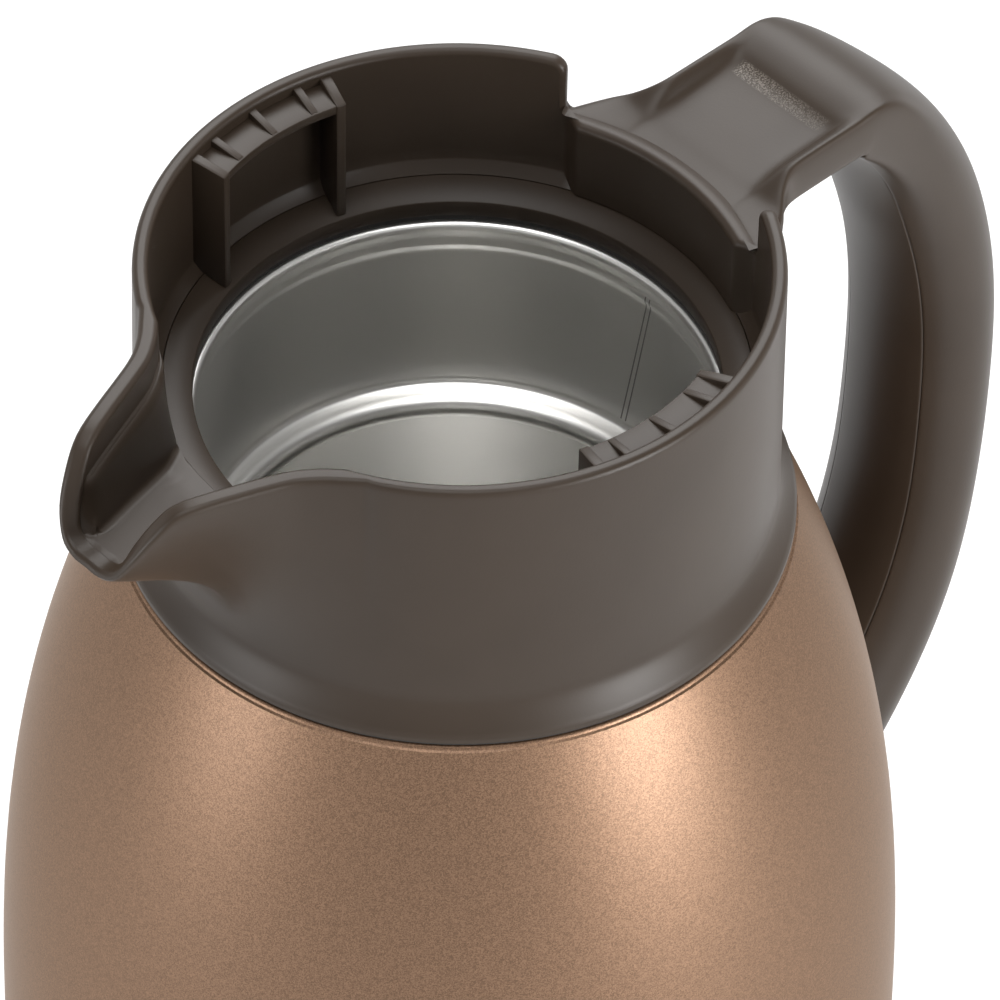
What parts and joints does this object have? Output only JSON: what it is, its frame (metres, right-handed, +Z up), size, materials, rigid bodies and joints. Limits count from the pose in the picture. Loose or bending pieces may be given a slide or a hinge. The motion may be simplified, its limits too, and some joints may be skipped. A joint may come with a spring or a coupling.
{
  "type": "vacuum carafe",
  "caption": "Vacuum-insulated steel serving carafe with a moulded pouring collar, spout and loop handle, open at the top to take a hinged lid unit.",
  "frame": {"origin": "middle of the base, on the surface that the carafe stands on", "axes": "+Z up along the body's axis, +X towards the handle, the spout points along -X, +Y to the left seen from the spout side towards the handle"},
  "size_m": [0.1704, 0.1314, 0.238],
  "materials": {
    "copper_paint": "fine metallic satin",
    "bottle_steel": "drawn satin with a polished lip",
    "hidden_steel": "plain drawn",
    "foil": "bright foil",
    "moulding": "satin, fine grain",
    "seat_moulding": "satin",
    "seal_rubber": "matt",
    "screw_steel": "plain"
  },
  "bodies": {
    "root": {"outer_shell": "copper_paint", "shell_bottom": "hidden_steel", "inner_bottle": "bottle_steel", "inner_bottom": "bottle_steel", "heat_shield": "foil", "getter": "hidden_steel", "vacuum_seal": "hidden_steel", "collar": "moulding", "seat_ring": "seat_moulding", "neck_gasket": "seal_rubber", "shoulder_seal": "seal_rubber", "handle": "moulding", "handle_cover": "moulding", "saddle_screw_upper": "screw_steel", "saddle_screw_lower": "screw_steel", "tail_bracket": "hidden_steel", "tail_screw": "screw_steel", "tail_plug": "moulding", "base_cover": "moulding", "foot_ring": "seal_rubber"}
  },
  "joints": []
}
